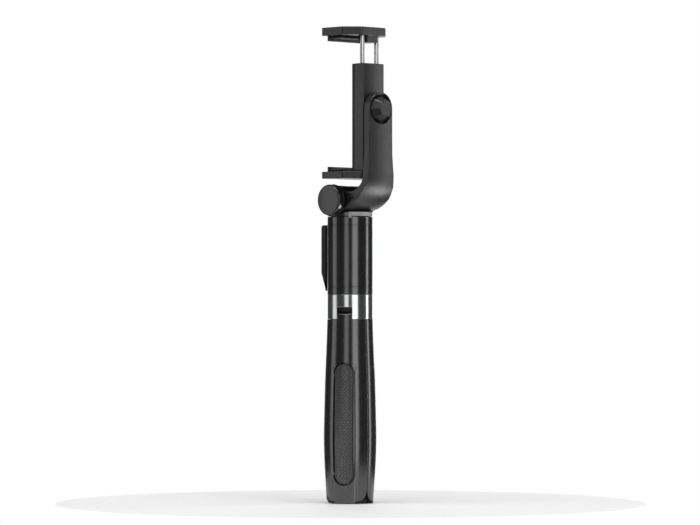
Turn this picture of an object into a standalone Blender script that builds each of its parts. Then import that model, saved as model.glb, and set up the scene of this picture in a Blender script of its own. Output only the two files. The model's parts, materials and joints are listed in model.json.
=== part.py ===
"""Tripod selfie stick: a three-leg handle round a telescopic pole, a barrel with a detachable remote,
a tilting arm and a turning, sprung phone clamp.

Sizes below are in millimetres and MM turns them into metres. The origin is on the stick's axis at the
bottom of the closed handle, +Z runs up the stick and -Y is the side that the phone's screen faces.
"""

import math

import bmesh
import bpy
from mathutils import Matrix, Vector

MM = 0.001
GAP = 0.3  # clearance that neighbouring pieces keep
SIDES = 40  # facets round the big turned pieces
SMALL_SIDES = 20  # facets round pins, rods and tubes

# Tripod handle: height above the feet and outer radius of the closed handle
HANDLE = (
    (0, 12.5), (3.5, 12.85), (12, 13.45), (25, 14.15), (36, 14.4),
    (45, 14.2), (67, 13.66), (86, 12.85), (99.5, 12.4),
)
LEG_ANGLES = (270, 30, 150)
LEG_HALF_ANGLE = 60
SHELL_WALL = 2.1
SHELL_CORNER = 5.5
TOE_HALF_WIDTH, TOE_HEIGHT = 6.0, 1.25
LINER_BORE = 6.8
LINER_TOP = 98.4
COLLAR_OUTER, COLLAR_BORE, COLLAR_TOP, COLLAR_GAP = 9.95, 9.0, 99.7, 4.6
GRIP_HALF_WIDTH = 5.75
GRIP_ENDS = (10, 76)
GRIP_RECESS = 1.2
GRIP_INSET = 0.15

# Hub and leg hinges
RING_RADIUS, RING_BORE = 12.35, 10.5
RING_LOW, RING_HIGH = 99.9, 112.9
CORE_LOW, CORE_HIGH = 104.2, 112.6
SKIRT_R, SKIRT_LOW = 8.1, 98.9
NOTCH_HALF_WIDTH, NOTCH_TOP = 4.25, 106.4
HINGE_R, HINGE_Z = 10.5, 101.2
PIN_R, PIN_HOLE_R, PIN_HALF_LENGTH, PIN_HOLE_END = 0.4, 0.6, 4.75, 4.95
TAB_HALF_WIDTH, TAB_HIGH = 3.95, 103.0

# Telescopic pole
TUBES = 6
TUBE_R, TUBE_PITCH, TUBE_WALL = 6.2, 0.8, 0.5
FIRST_TUBE_LOW, TUBE_LOW, TUBE_HIGH, TUBE_STEP = 2.5, 8.9, 112.6, 1.6
GLIDE_LOW, GLIDE_HIGH = 5.6, 8.6
PLUG_R, PLUG_TOP, PLUG_BOSS_R, PLUG_BOSS_TOP = 6.4, 2.2, 5.3, 5.0
LAST_TUBE_TOP = 149.0

# Barrel
BARREL_R, BARREL_BORE = 12.35, 10.9
BARREL_LOW, BARREL_HIGH = 113.2, 155.5
CORE_R, CORE_BORE, CORE_TOP, WEB_LOW, POCKET_LOW = 10.6, 7.2, 154.3, 143.0, 149.3
DOCK_Y = -9.3
DOCK_LOW, DOCK_HIGH = 115.0, 151.4
PLATE_R, PLATE_LOW, PLATE_HIGH, PLATE_BOSS_R, PLATE_BOSS_LOW = 12.2, 155.8, 158.1, 10.3, 154.6

# Tilt knuckle, with its axis along X
TILT_Z = 164.4
EAR_R, LUG_R, TROUGH_R = 8.0, 7.9, 8.3
LUG_X, EAR_X = 5.0, 12.4
NECK_Y = 4.5
TILT_BOLT_R = 1.8
KNOB_R, KNOB_IN, KNOB_OUT = 8.4, 13.6, 16.9
COLLAR_R, COLLAR_IN, COLLAR_OUT = 8.6, 12.7, 13.3
TILT_BOLT_IN, TILT_BOLT_OUT = -13.6, 15.0
NUT_R, NUT_IN, NUT_OUT = 6.0, -12.7, -14.8
CROSS_PIN_Z, CROSS_PIN_R, CROSS_PIN_HALF_LENGTH = 152.0, 0.9, 9.6

# Arm: outer side is a quarter ellipse that runs into a straight back
ARM_BACK, ARM_FRONT = 24.1, 19.6
BEND_Z, BEND_HEIGHT = 178.0, 20.7
ARM_HALF_WIDTH = 8.95
ROLL_Z = 213.5
SEAT_R, SEAT_Y = 8.2, 21.8
ROLL_BOLT_R = 1.5
KNOB_SEAT_R, KNOB_END_R, ROLL_KNOB_BACK = 7.8, 4.5, 27.7

# Phone clamp
CASE_X, CASE_LOW, CASE_HIGH = 7.95, 180.1, 238.3
CASE_FRONT, COVER_BACK, CASE_BACK = 9.2, 10.6, 18.6
ROD_X, ROD_Y, ROD_R = 5.4, 14.8, 1.25
BRIDGE_LOW, BRIDGE_HIGH = 211.9, 215.9
JAW_X, JAW_FRONT, JAW_SIDE_END, JAW_BACK, JAW_BACK_X = 16.6, -5.4, 11.0, 18.3, 8.8
LOWER_JAW_LOW, LOWER_JAW_HIGH = 176.0, 179.8
TOP_JAW_LOW, TOP_JAW_HIGH = 253.6, 258.0
BLOCK_LOW, SOCKET_TOP = 249.6, 255.9
LIP_Y, LIP_X, LIP_HEIGHT = -3.4, 13.0, 2.8
PAD_X, PAD_FRONT, PAD_BACK, PAD_THICKNESS = 13.0, -3.0, 6.0, 1.2
SPRING_R, SPRING_WIRE, SPRING_TURNS = 2.3, 0.4, 5
SPRING_LOW, SPRING_HIGH = 182.4, 211.5
SPRING_Y = 13.75
JAW_SCREWS_Y = (12.3, 16.0)

# Remote, docked in the front of the barrel
REMOTE_X, REMOTE_LOW, REMOTE_HIGH = 6.0, 115.3, 151.1
REMOTE_BACK, REMOTE_SPLIT, REMOTE_FRONT = -9.6, -12.2, -16.3
REMOTE_SHOULDER = 125.2
BUTTON_Z, BUTTON_R = 141.0, 3.6

for old in list(bpy.data.objects):
    bpy.data.objects.remove(old, do_unlink=True)

PARTS = bpy.data.collections.new("selfie_stick")
CUTTERS = bpy.data.collections.new("cutters")
bpy.context.scene.collection.children.link(PARTS)
bpy.context.scene.collection.children.link(CUTTERS)


def finish(name, colour, roughness, metallic=0.0):
    """A plain Principled material."""
    material = bpy.data.materials.new(name)
    material.use_nodes = True
    shader = material.node_tree.nodes["Principled BSDF"]
    shader.inputs["Base Color"].default_value = (*colour, 1.0)
    shader.inputs["Roughness"].default_value = roughness
    shader.inputs["Metallic"].default_value = metallic
    material.diffuse_color = (*colour, 1.0)
    return material


GLOSS = finish("gloss_black", (0.012, 0.012, 0.014), 0.22)
SATIN = finish("satin_black", (0.016, 0.016, 0.018), 0.42)
DARK = finish("inner_black", (0.010, 0.010, 0.010), 0.65)
RUBBER = finish("soft_rubber", (0.012, 0.012, 0.012), 0.85)
CHROME = finish("bright_chrome", (0.86, 0.87, 0.88), 0.10, 1.0)
STEEL = finish("spring_steel", (0.55, 0.56, 0.57), 0.32, 1.0)
GREY = finish("grey_plate", (0.33, 0.34, 0.35), 0.38)
BOARD = finish("board_green", (0.02, 0.13, 0.05), 0.45)
LENS = finish("lens_blue", (0.05, 0.18, 0.55), 0.12)


def place_in(collection, name, data, material):
    """A new object in one of the two collections."""
    made = bpy.data.objects.new(name, data)
    collection.objects.link(made)
    if material is not None:
        made.data.materials.append(material)
    if collection is CUTTERS:
        made.hide_render = True
        made.display_type = "WIRE"
    return made


def smooth(mesh):
    mesh.shade_smooth()
    mesh.set_sharp_from_angle(angle=math.radians(35))


def home(material):
    """Pieces have a material and cutters have none."""
    return CUTTERS if material is None else PARTS


def box(name, low, high, material=None, bevel=0.0):
    """A block between two corners, with its edges bevelled."""
    shape = bmesh.new()
    bmesh.ops.create_cube(shape, size=1.0)
    size = [(b - a) * MM for a, b in zip(low, high)]
    centre = [(a + b) / 2 * MM for a, b in zip(low, high)]
    bmesh.ops.scale(shape, vec=size, verts=shape.verts)
    bmesh.ops.translate(shape, vec=centre, verts=shape.verts)
    mesh = bpy.data.meshes.new(name)
    shape.to_mesh(mesh)
    shape.free()
    made = place_in(home(material), name, mesh, material)
    if bevel:
        add_bevel(made, bevel)
    return made


def rod(name, start, end, radius, material=None, sides=SMALL_SIDES, end_radius=None):
    """A solid cylinder from one point to another, or a tapered one if its end has a radius of its own."""
    start, end = Vector(start) * MM, Vector(end) * MM
    along = end - start
    shape = bmesh.new()
    radii = {"radius1": radius * MM, "radius2": (end_radius or radius) * MM}
    bmesh.ops.create_cone(shape, cap_ends=True, segments=sides, depth=along.length, **radii)
    turn = Vector((0, 0, 1)).rotation_difference(along).to_matrix().to_4x4()
    shape.transform(Matrix.Translation((start + end) / 2) @ turn)
    mesh = bpy.data.meshes.new(name)
    shape.to_mesh(mesh)
    shape.free()
    smooth(mesh)
    return place_in(home(material), name, mesh, material)


def turned(name, profile, material=None, steps=SIDES, closed=True):
    """A profile of (radius, height) points turned about Z. It runs down the outside, then up the inside."""
    shape = bmesh.new()
    points = [shape.verts.new((r * MM, 0, z * MM)) for r, z in profile]
    for first, second in zip(points, points[1:]):
        shape.edges.new((first, second))
    if closed:
        shape.edges.new((points[-1], points[0]))
    mesh = bpy.data.meshes.new(name)
    shape.to_mesh(mesh)
    shape.free()
    made = place_in(home(material), name, mesh, material)
    screw = made.modifiers.new("turn", "SCREW")
    screw.axis = "Z"
    screw.angle = math.tau
    screw.steps = screw.render_steps = steps
    screw.use_merge_vertices = True
    screw.merge_threshold = 1e-5
    screw.use_smooth_shade = False
    return made


def disc(radius, low, high):
    """Profile of a plain disc for turned()."""
    return ((0, high), (radius, high), (radius, low), (0, low))


def ring(outer, inner, low, high):
    """Profile of a plain ring for turned()."""
    return ((outer, high), (outer, low), (inner, low), (inner, high))


def settled(made):
    """The object as its modifiers leave it, as a plain mesh with welded points."""
    bpy.context.view_layer.update()
    graph = bpy.context.evaluated_depsgraph_get()
    mesh = bpy.data.meshes.new_from_object(made.evaluated_get(graph))
    shape = bmesh.new()
    shape.from_mesh(mesh)
    bmesh.ops.remove_doubles(shape, verts=shape.verts, dist=1e-7)
    shape.transform(made.matrix_world)
    shape.to_mesh(mesh)
    shape.free()
    smooth(mesh)
    name, material = made.name, made.active_material
    bpy.data.objects.remove(made, do_unlink=True)
    return place_in(home(material), name, mesh, material)


PLANES = {  # where an outline's own x, y and thickness point
    "XY": Matrix.Identity(4),
    "XZ": Matrix(((1, 0, 0, 0), (0, 0, -1, 0), (0, 1, 0, 0), (0, 0, 0, 1))),
    "YZ": Matrix(((0, 0, 1, 0), (1, 0, 0, 0), (0, 1, 0, 0), (0, 0, 0, 1))),
}


def plate(name, outline, plane, low, high, material=None, bevel=0.0):
    """A flat outline in one of the three planes, thickened from low to high along the third axis."""
    curve = bpy.data.curves.new(name, "CURVE")
    curve.dimensions = "2D"
    curve.fill_mode = "BOTH"
    curve.extrude = (high - low) / 2 * MM
    spline = curve.splines.new("POLY")
    spline.points.add(len(outline) - 1)
    for point, (x, y) in zip(spline.points, outline):
        point.co = (x * MM, y * MM, 0, 1)
    spline.use_cyclic_u = True
    made = place_in(home(material), name, curve, material)
    middle = (low + high) / 2 * (-1 if plane == "XZ" else 1)
    made.matrix_world = PLANES[plane] @ Matrix.Translation((0, 0, middle * MM))
    made = settled(made)
    if bevel:
        add_bevel(made, bevel)
    return made


def add_bevel(made, width):
    bevel = made.modifiers.new("edge", "BEVEL")
    bevel.width = width * MM
    bevel.segments = 1
    bevel.limit_method = "ANGLE"


def combine(made, other, operation):
    step = made.modifiers.new(operation.lower(), "BOOLEAN")
    step.operation = operation
    step.solver = "EXACT"
    step.object = other
    if other.name not in CUTTERS.objects:
        PARTS.objects.unlink(other)
        CUTTERS.objects.link(other)
        other.hide_render = True
        other.display_type = "WIRE"
    return made


def cut(made, *others):
    for other in others:
        combine(made, other, "DIFFERENCE")
    return made


def join(made, *others):
    for other in others:
        combine(made, other, "UNION")
    return made


def keep(made, other):
    return combine(made, other, "INTERSECT")


def arc(centre, radius, start, end, steps):
    """Points along an arc, by angle in degrees."""
    turn = [math.radians(start + (end - start) * i / steps) for i in range(steps + 1)]
    return [(centre[0] + radius * math.cos(a), centre[1] + radius * math.sin(a)) for a in turn]


def handle_radius(z):
    """Outer radius of the closed handle at a height."""
    for (z0, r0), (z1, r1) in zip(HANDLE, HANDLE[1:]):
        if z <= z1:
            return r0 + (r1 - r0) * (z - z0) / (z1 - z0)
    return HANDLE[-1][1]


def offset_handle(inset):
    """The handle's outer side, top to bottom, moved inwards."""
    return [(r - inset, z) for z, r in reversed(HANDLE)]


def leg_wedge(name):
    """The third of a circle that one leg fills, less half the gap to the next leg."""
    reach = 24
    tip = GAP / 2 / math.sin(math.radians(LEG_HALF_ANGLE))
    side = reach * math.tan(math.radians(LEG_HALF_ANGLE))
    return plate(name, [(tip, 0), (tip + reach, -side), (tip + reach, side)], "XY", -5, 120)


def shell_outline():
    """Front outline of a leg shell: a toe in the middle that stands lower, and two rounded corners."""
    radius = handle_radius(SHELL_CORNER)
    half_arc = radius * math.radians(LEG_HALF_ANGLE)
    edge = [(TOE_HALF_WIDTH, 0), (TOE_HALF_WIDTH + 0.4, 0.3), (TOE_HALF_WIDTH + 0.6, TOE_HEIGHT)]
    for step in range(7):
        turn = math.radians(15 * step)
        rise = SHELL_CORNER * (1 - math.cos(turn))
        edge.append((half_arc - SHELL_CORNER + SHELL_CORNER * math.sin(turn), TOE_HEIGHT + rise))
    curved = [(radius * math.sin(along / radius), z) for along, z in edge]
    right = [*curved, (16, TOE_HEIGHT + SHELL_CORNER), (16, 110)]
    return [(x, z - 0.01) for x, z in right] + [(-x, z - 0.01) for x, z in reversed(right)]


def stadium(half_width, low, high, steps=8):
    """Upright slot outline with round ends."""
    top = arc((0, high - half_width), half_width, 0, 180, steps)
    return top + arc((0, low + half_width), half_width, 180, 360, steps)


def grip_zone(name, inset, outset, half_width, ends, material=None):
    """The part of the handle's skin that lies in the grip's slot outline, in the leg's own frame."""
    outside = offset_handle(-outset)
    inside = list(reversed(offset_handle(inset)))
    skin = turned(name, outside + inside, material)
    return keep(skin, plate(name + "_outline", stadium(half_width, *ends), "YZ", 4, 24))


def hinge_tab():
    """The tab that rises from a leg shell into the ring's notch and turns on the hinge pin."""
    skin = RING_RADIUS - 0.05
    back = arc((HINGE_R, HINGE_Z), TAB_HIGH - HINGE_Z, 90, 200, 6)
    front = [(skin + 1, 97), (skin + 1, 102.1), (skin - 0.2, 102.5), (skin - 0.7, 102.85)]
    side = [(10.6, 97), *front, *back, (9.3, 99.6), (10.6, 98.9)]
    tab = plate("hinge_tab", side, "XZ", -TAB_HALF_WIDTH, TAB_HALF_WIDTH)
    return keep(tab, turned("tab_skin", disc(skin, 95, 106), closed=False))


def leg_pieces():
    """Shell, liner and grip of one leg that points along +X."""
    inner = [(HANDLE[0][1] - SHELL_WALL, 0), (HANDLE[4][1] - SHELL_WALL, HANDLE[4][0])]
    inner.append((HANDLE[-1][1] - SHELL_WALL, HANDLE[-1][0]))
    shell = turned("leg_shell", [*offset_handle(0), *inner], GLOSS)
    keep(shell, leg_wedge("shell_wedge"))
    keep(shell, plate("shell_outline", shell_outline(), "YZ", 4, 24))
    join(shell, hinge_tab())
    cut(shell, rod("tab_hole", (HINGE_R, -6, HINGE_Z), (HINGE_R, 6, HINGE_Z), PIN_HOLE_R, sides=16))
    recess_ends = (GRIP_ENDS[0] - GAP, GRIP_ENDS[1] + GAP)
    cut(shell, grip_zone("grip_recess", GRIP_RECESS, 2, GRIP_HALF_WIDTH + GAP, recess_ends))

    outside = [(r - GAP, z) for r, z in reversed(inner)]
    outside[0] = (outside[0][0], LINER_TOP)
    liner = turned("leg_liner", outside + [(LINER_BORE, 0), (LINER_BORE, LINER_TOP)], DARK)
    collar = turned("liner_collar", ring(COLLAR_OUTER, COLLAR_BORE, LINER_TOP - 0.4, COLLAR_TOP))
    cut(collar, box("collar_gap", (0, -COLLAR_GAP, LINER_TOP - 1), (14, COLLAR_GAP, COLLAR_TOP + 1)))
    join(liner, collar)
    keep(liner, leg_wedge("liner_wedge"))

    grip = grip_zone("leg_grip", GRIP_RECESS - GAP, -GRIP_INSET, GRIP_HALF_WIDTH, GRIP_ENDS, RUBBER)
    return [settled(piece) for piece in (shell, liner, grip)]


def make_legs():
    """Three copies of the leg's pieces, each set on its own hinge."""
    bodies = {}
    originals = leg_pieces()
    for number, angle in enumerate(LEG_ANGLES, 1):
        turn = Matrix.Rotation(math.radians(angle), 4, "Z")
        members = []
        for original in originals:
            copy = place_in(PARTS, f"{original.name}_{number}", original.data, None)
            copy.matrix_world = turn
            members.append(copy)
        bodies[f"leg_{number}"] = (turn @ (Vector((HINGE_R, 0, HINGE_Z)) * MM), members)
    for original in originals:
        bpy.data.objects.remove(original, do_unlink=True)
    return bodies


def make_hub():
    """Chrome ring that holds the hinge pins, and the core inside it that grips the first tube."""
    edge = 0.25
    top = ((RING_BORE, RING_HIGH), (RING_RADIUS - edge, RING_HIGH), (RING_RADIUS, RING_HIGH - edge))
    bottom = ((RING_RADIUS, RING_LOW + edge), (RING_RADIUS - edge, RING_LOW), (RING_BORE, RING_LOW))
    hub_ring = turned("hub_ring", [*top, *bottom], CHROME)
    outer, bore = RING_BORE - GAP, TUBE_R + GAP
    skirt = ((outer, CORE_LOW), (SKIRT_R, CORE_LOW), (SKIRT_R, SKIRT_LOW), (bore, SKIRT_LOW))
    core = turned("hub_core", [(outer, CORE_HIGH), *skirt, (bore, CORE_HIGH)], DARK)
    pins = []
    for number, angle in enumerate(LEG_ANGLES, 1):
        notch = box(f"notch_{number}", (9, -NOTCH_HALF_WIDTH, 99), (14, NOTCH_HALF_WIDTH, NOTCH_TOP))
        hole_ends = ((HINGE_R, -PIN_HOLE_END, HINGE_Z), (HINGE_R, PIN_HOLE_END, HINGE_Z))
        hole = rod(f"pin_hole_{number}", *hole_ends, PIN_HOLE_R, sides=16)
        ends = ((HINGE_R, -PIN_HALF_LENGTH, HINGE_Z), (HINGE_R, PIN_HALF_LENGTH, HINGE_Z))
        pin = rod(f"leg_hinge_pin_{number}", *ends, PIN_R, STEEL, sides=12)
        for piece in (notch, hole, pin):
            piece.matrix_world = Matrix.Rotation(math.radians(angle), 4, "Z")
        cut(hub_ring, notch, hole)
        pins.append(pin)
    return [hub_ring, core, *pins]


def make_pole():
    """Nested tubes, widest first, with a glide ring under each moving one and a plug under the first."""
    boss = ((0, PLUG_BOSS_TOP), (PLUG_BOSS_R, PLUG_BOSS_TOP), (PLUG_BOSS_R, PLUG_TOP))
    plug_profile = [*boss, (PLUG_R, PLUG_TOP), (PLUG_R, 0), (0, 0)]
    first_profile = ring(TUBE_R, TUBE_R - TUBE_WALL, FIRST_TUBE_LOW, TUBE_HIGH)
    first = turned("pole_tube_1", first_profile, CHROME, steps=SMALL_SIDES)
    plug = turned("pole_end_plug", plug_profile, DARK, steps=SMALL_SIDES, closed=False)
    sections = [[first, plug]]
    for number in range(2, TUBES + 1):
        outer = TUBE_R - TUBE_PITCH * (number - 1)
        inner = outer - TUBE_WALL
        top = LAST_TUBE_TOP if number == TUBES else TUBE_HIGH + TUBE_STEP * (number - 1)
        tube_profile = ring(outer, inner, TUBE_LOW, top)
        tube = turned(f"pole_tube_{number}", tube_profile, CHROME, steps=SMALL_SIDES)
        glide_profile = ring(outer, inner, GLIDE_LOW, GLIDE_HIGH)
        glide = turned(f"pole_glide_{number}", glide_profile, DARK, steps=SMALL_SIDES)
        sections.append([tube, glide])
    return sections


def make_barrel():
    """Outer sleeve, core that grips the last tube, grey top plate, and the tilt lug with its cross pin."""
    shell = turned("barrel_shell", ring(BARREL_R, BARREL_BORE, BARREL_LOW, BARREL_HIGH), GLOSS)
    window = REMOTE_X + GAP
    cut(shell, box("remote_window", (-window, -15, DOCK_LOW), (window, -8, DOCK_HIGH)))

    hole = TUBE_R - TUBE_PITCH * (TUBES - 1) + GAP
    side = ((CORE_R, CORE_TOP), (CORE_R, BARREL_LOW), (CORE_BORE, BARREL_LOW), (CORE_BORE, WEB_LOW))
    core = turned("barrel_core", [*side, (hole, WEB_LOW), (hole, CORE_TOP)], DARK, steps=SIDES)
    pocket_x, pocket_y = LUG_X + GAP, NECK_Y + GAP
    cut(core, box("lug_pocket", (-pocket_x, -pocket_y, POCKET_LOW), (pocket_x, pocket_y, 160)))
    cut(core, box("dock_flat", (-12, -14, DOCK_LOW), (12, DOCK_Y, DOCK_HIGH)))

    hub = 3  # the neck's hole is wider than this all round
    rim = ((hub, PLATE_HIGH), (PLATE_R, PLATE_HIGH), (PLATE_R, PLATE_LOW), (PLATE_BOSS_R, PLATE_LOW))
    top = turned("barrel_top_plate", [*rim, (PLATE_BOSS_R, PLATE_BOSS_LOW), (hub, PLATE_BOSS_LOW)], GREY)
    cut(top, rod("knuckle_trough", (-20, 0, TILT_Z), (20, 0, TILT_Z), TROUGH_R, sides=SIDES))
    cut(top, box("neck_hole", (-pocket_x, -pocket_y, 150), (pocket_x, pocket_y, 160)))

    lug = rod("tilt_lug", (-LUG_X, 0, TILT_Z), (LUG_X, 0, TILT_Z), LUG_R, SATIN, sides=SIDES)
    join(lug, box("lug_neck", (-LUG_X, -NECK_Y, POCKET_LOW + GAP), (LUG_X, NECK_Y, TILT_Z)))
    cut(lug, rod("lug_bore", (-8, 0, TILT_Z), (8, 0, TILT_Z), TILT_BOLT_R + GAP, sides=SMALL_SIDES))

    length, height = CROSS_PIN_HALF_LENGTH, CROSS_PIN_Z
    cross_pin = rod("lug_cross_pin", (-length, 0, height), (length, 0, height), CROSS_PIN_R, STEEL, sides=12)
    for piece in (core, lug):
        ends = ((-14, 0, height), (14, 0, height))
        cut(piece, rod(f"{piece.name}_pin_hole", *ends, CROSS_PIN_R + GAP, sides=12))
    return [shell, core, top, lug, cross_pin]


def arm_side():
    """Side outline of the arm in Y and Z: the curved outer side, the top, then the inner side."""
    bend = []
    for step in range(13):
        turn = math.radians(70.5 * (1 - step / 12))
        bend.append((ARM_BACK * math.cos(turn), BEND_Z - BEND_HEIGHT * math.sin(turn)))
    inner = [(ARM_FRONT, 179), (18.95, 175.2), (18.2, 173.3), (16.4, 171.7)]
    root = [(13.6, 169.3), (9.5, 168), (4, 168.5), (0, TILT_Z), (3, 158.9)]
    return [*bend, (ARM_BACK, 226), (ARM_FRONT, 226), *inner, *root]


def arm_front():
    """Front outline of the arm in X and Z, wide at the knuckle and narrowing to a round head."""
    side = [(EAR_X, 150), (EAR_X, 164), (12.05, 167.7), (10.7, 173.4), (10.2, 176.6), (ARM_HALF_WIDTH, 188)]
    head = arc((0, ROLL_Z), ARM_HALF_WIDTH, 0, 180, 18)
    return [*side, *head, *[(-x, z) for x, z in reversed(side)]]


def tilt_rod(name, low, high, radius, material=None, sides=SIDES):
    """A rod on the tilt axis from one X to another."""
    return rod(name, (low, 0, TILT_Z), (high, 0, TILT_Z), radius, material, sides=sides)


def make_arm():
    """The arm, its tilt bolt with knob, collar and nut, and the turning pivot's bolt, washer and knob."""
    arm = plate("arm", arm_side(), "YZ", -EAR_X - 1, EAR_X + 1, SATIN)
    join(arm, rod("arm_hub", (-EAR_X, 0, TILT_Z), (EAR_X, 0, TILT_Z), EAR_R, sides=SIDES))
    keep(arm, plate("arm_front", arm_front(), "XZ", -12, 30))
    slot_x = LUG_X + GAP
    cut(arm, rod("lug_slot", (-slot_x, 0, TILT_Z), (slot_x, 0, TILT_Z), TROUGH_R, sides=SIDES))
    cut(arm, rod("tilt_bore", (-16, 0, TILT_Z), (16, 0, TILT_Z), TILT_BOLT_R + GAP, sides=SMALL_SIDES))
    cut(arm, rod("knob_seat", (0, SEAT_Y, ROLL_Z), (0, 30, ROLL_Z), SEAT_R, sides=SIDES))
    cut(arm, rod("roll_bore", (0, 15, ROLL_Z), (0, 30, ROLL_Z), ROLL_BOLT_R + GAP, sides=SMALL_SIDES))

    bolt = tilt_rod("tilt_bolt", TILT_BOLT_IN, TILT_BOLT_OUT, TILT_BOLT_R, STEEL, sides=16)
    collar = tilt_rod("tilt_collar", COLLAR_IN, COLLAR_OUT, COLLAR_R, DARK)
    knob = tilt_rod("tilt_knob", KNOB_IN, KNOB_OUT, KNOB_R, GLOSS)
    nut = tilt_rod("tilt_nut", NUT_OUT, NUT_IN, NUT_R, GLOSS)
    holes = ((collar, 12, 14), (knob, 12, TILT_BOLT_OUT + GAP), (nut, TILT_BOLT_IN - GAP, -12))
    for piece, low, high in holes:
        cut(piece, tilt_rod(f"{piece.name}_hole", low, high, TILT_BOLT_R + GAP, sides=16))

    washer = rod("roll_washer", (0, 18.9, ROLL_Z), (0, 19.3, ROLL_Z), 6.0, STEEL)
    cut(washer, rod("washer_hole", (0, 18, ROLL_Z), (0, 20, ROLL_Z), ROLL_BOLT_R + GAP, sides=16))
    roll_bolt = rod("roll_bolt", (0, 17.2, ROLL_Z), (0, 24.7, ROLL_Z), ROLL_BOLT_R, STEEL, sides=16)
    front = SEAT_Y + GAP
    knob_ends = ((0, front, ROLL_Z), (0, ROLL_KNOB_BACK, ROLL_Z))
    roll_knob = rod("roll_knob", *knob_ends, KNOB_SEAT_R, SATIN, sides=8, end_radius=KNOB_END_R)
    cut(roll_knob, rod("knob_hole", (0, 20, ROLL_Z), (0, 25, ROLL_Z), ROLL_BOLT_R + GAP, sides=16))
    return [arm, bolt, collar, knob, nut, washer, roll_bolt, roll_knob]


def jaw_outline():
    """Plan of both jaws: square at the front, cut off at 45 degrees towards the back."""
    right = [(JAW_X, JAW_FRONT), (JAW_X, JAW_SIDE_END), (JAW_BACK_X, JAW_BACK)]
    return [*right, *[(-x, y) for x, y in reversed(right)]]


def make_clamp():
    """Case and cover, the lower jaw with its screws, pads, the rod guide and the spring."""
    inner_x, inner_front, inner_back, inner_low = CASE_X - 1, COVER_BACK, 16.9, CASE_LOW + 1.9
    cover_corners = ((-CASE_X, CASE_FRONT, CASE_LOW), (CASE_X, COVER_BACK, CASE_HIGH))
    cover = box("clamp_cover", *cover_corners, SATIN, bevel=0.4)
    case_corners = ((-CASE_X, COVER_BACK + GAP, CASE_LOW), (CASE_X, CASE_BACK, CASE_HIGH))
    case = box("clamp_case", *case_corners, SATIN, bevel=0.5)
    cut(case, box("case_hollow", (-inner_x, inner_front, inner_low), (inner_x, inner_back, CASE_HIGH + 5)))
    cut(cover, box("pad_recess", (-6.2, 8, 189.7), (6.2, 10.0, 228.3)))
    cut(case, rod("case_bore", (0, 14, ROLL_Z), (0, 20, ROLL_Z), ROLL_BOLT_R + GAP, sides=16))
    back_pad = box("back_pad", (-5.9, 8.7, 190), (5.9, 9.7, 228), RUBBER, bevel=0.2)

    guide_low = (-inner_x + GAP, inner_front + 2 * GAP, 233)
    guide = box("rod_guide", guide_low, (inner_x - GAP, inner_back - GAP, CASE_HIGH - GAP), DARK)
    for side in (-1, 1):
        x = side * ROD_X
        cut(guide, rod(f"guide_hole_{side}", (x, ROD_Y, 230), (x, ROD_Y, 240), ROD_R + GAP, sides=16))
        low_x, high_x = sorted((x, side * 9))
        slot = ((low_x, ROD_Y - ROD_R, 230), (high_x, ROD_Y + ROD_R, 240))
        cut(guide, box(f"guide_slot_{side}", *slot))

    lower_jaw = plate("lower_jaw", jaw_outline(), "XY", LOWER_JAW_LOW, LOWER_JAW_HIGH, SATIN, bevel=0.7)
    lip_low = (-LIP_X, JAW_FRONT + 0.9, LOWER_JAW_HIGH - 1)
    join(lower_jaw, box("lower_lip", lip_low, (LIP_X, LIP_Y, LOWER_JAW_HIGH + LIP_HEIGHT)))
    pad_low, pad_high = LOWER_JAW_HIGH + GAP, LOWER_JAW_HIGH + GAP + PAD_THICKNESS
    pad_corners = ((-PAD_X, PAD_FRONT, pad_low), (PAD_X, PAD_BACK, pad_high))
    lower_pad = box("lower_jaw_pad", *pad_corners, RUBBER, bevel=0.3)

    screws = []
    for number, y in enumerate(JAW_SCREWS_Y, 1):
        screw = rod(f"jaw_screw_{number}", (0, y, 176.5), (0, y, 178), 1.5, STEEL, sides=16)
        join(screw, rod(f"screw_shank_{number}", (0, y, 177.5), (0, y, 181.6), 0.7, sides=12))
        cut(lower_jaw, rod(f"screw_head_hole_{number}", (0, y, 170), (0, y, 178.3), 1.7, sides=16))
        cut(lower_jaw, rod(f"screw_hole_{number}", (0, y, 170), (0, y, 185), 1.0, sides=12))
        cut(case, rod(f"screw_nut_hole_{number}", (0, y, 170), (0, y, 185), 1.0, sides=12))
        screws.append(screw)

    spring = make_spring()
    return [cover, case, back_pad, guide, lower_jaw, lower_pad, *screws, spring]


def make_spring():
    """The extension spring that pulls the top jaw down, as a helix of round wire."""
    per_turn = 9
    count = SPRING_TURNS * per_turn + 1
    low, high = SPRING_LOW + SPRING_WIRE, SPRING_HIGH - SPRING_WIRE
    curve = bpy.data.curves.new("clamp_spring", "CURVE")
    curve.dimensions = "3D"
    curve.bevel_depth = SPRING_WIRE * MM
    curve.bevel_resolution = 2
    curve.use_fill_caps = True
    spline = curve.splines.new("POLY")
    spline.points.add(count - 1)
    for step, point in enumerate(spline.points):
        turn = math.tau * step / per_turn
        z = low + (high - low) * step / (count - 1)
        place = Vector((SPRING_R * math.cos(turn), SPRING_Y + SPRING_R * math.sin(turn), z)) * MM
        point.co = (*place, 1)
    return place_in(PARTS, "clamp_spring", curve, STEEL)


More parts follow.
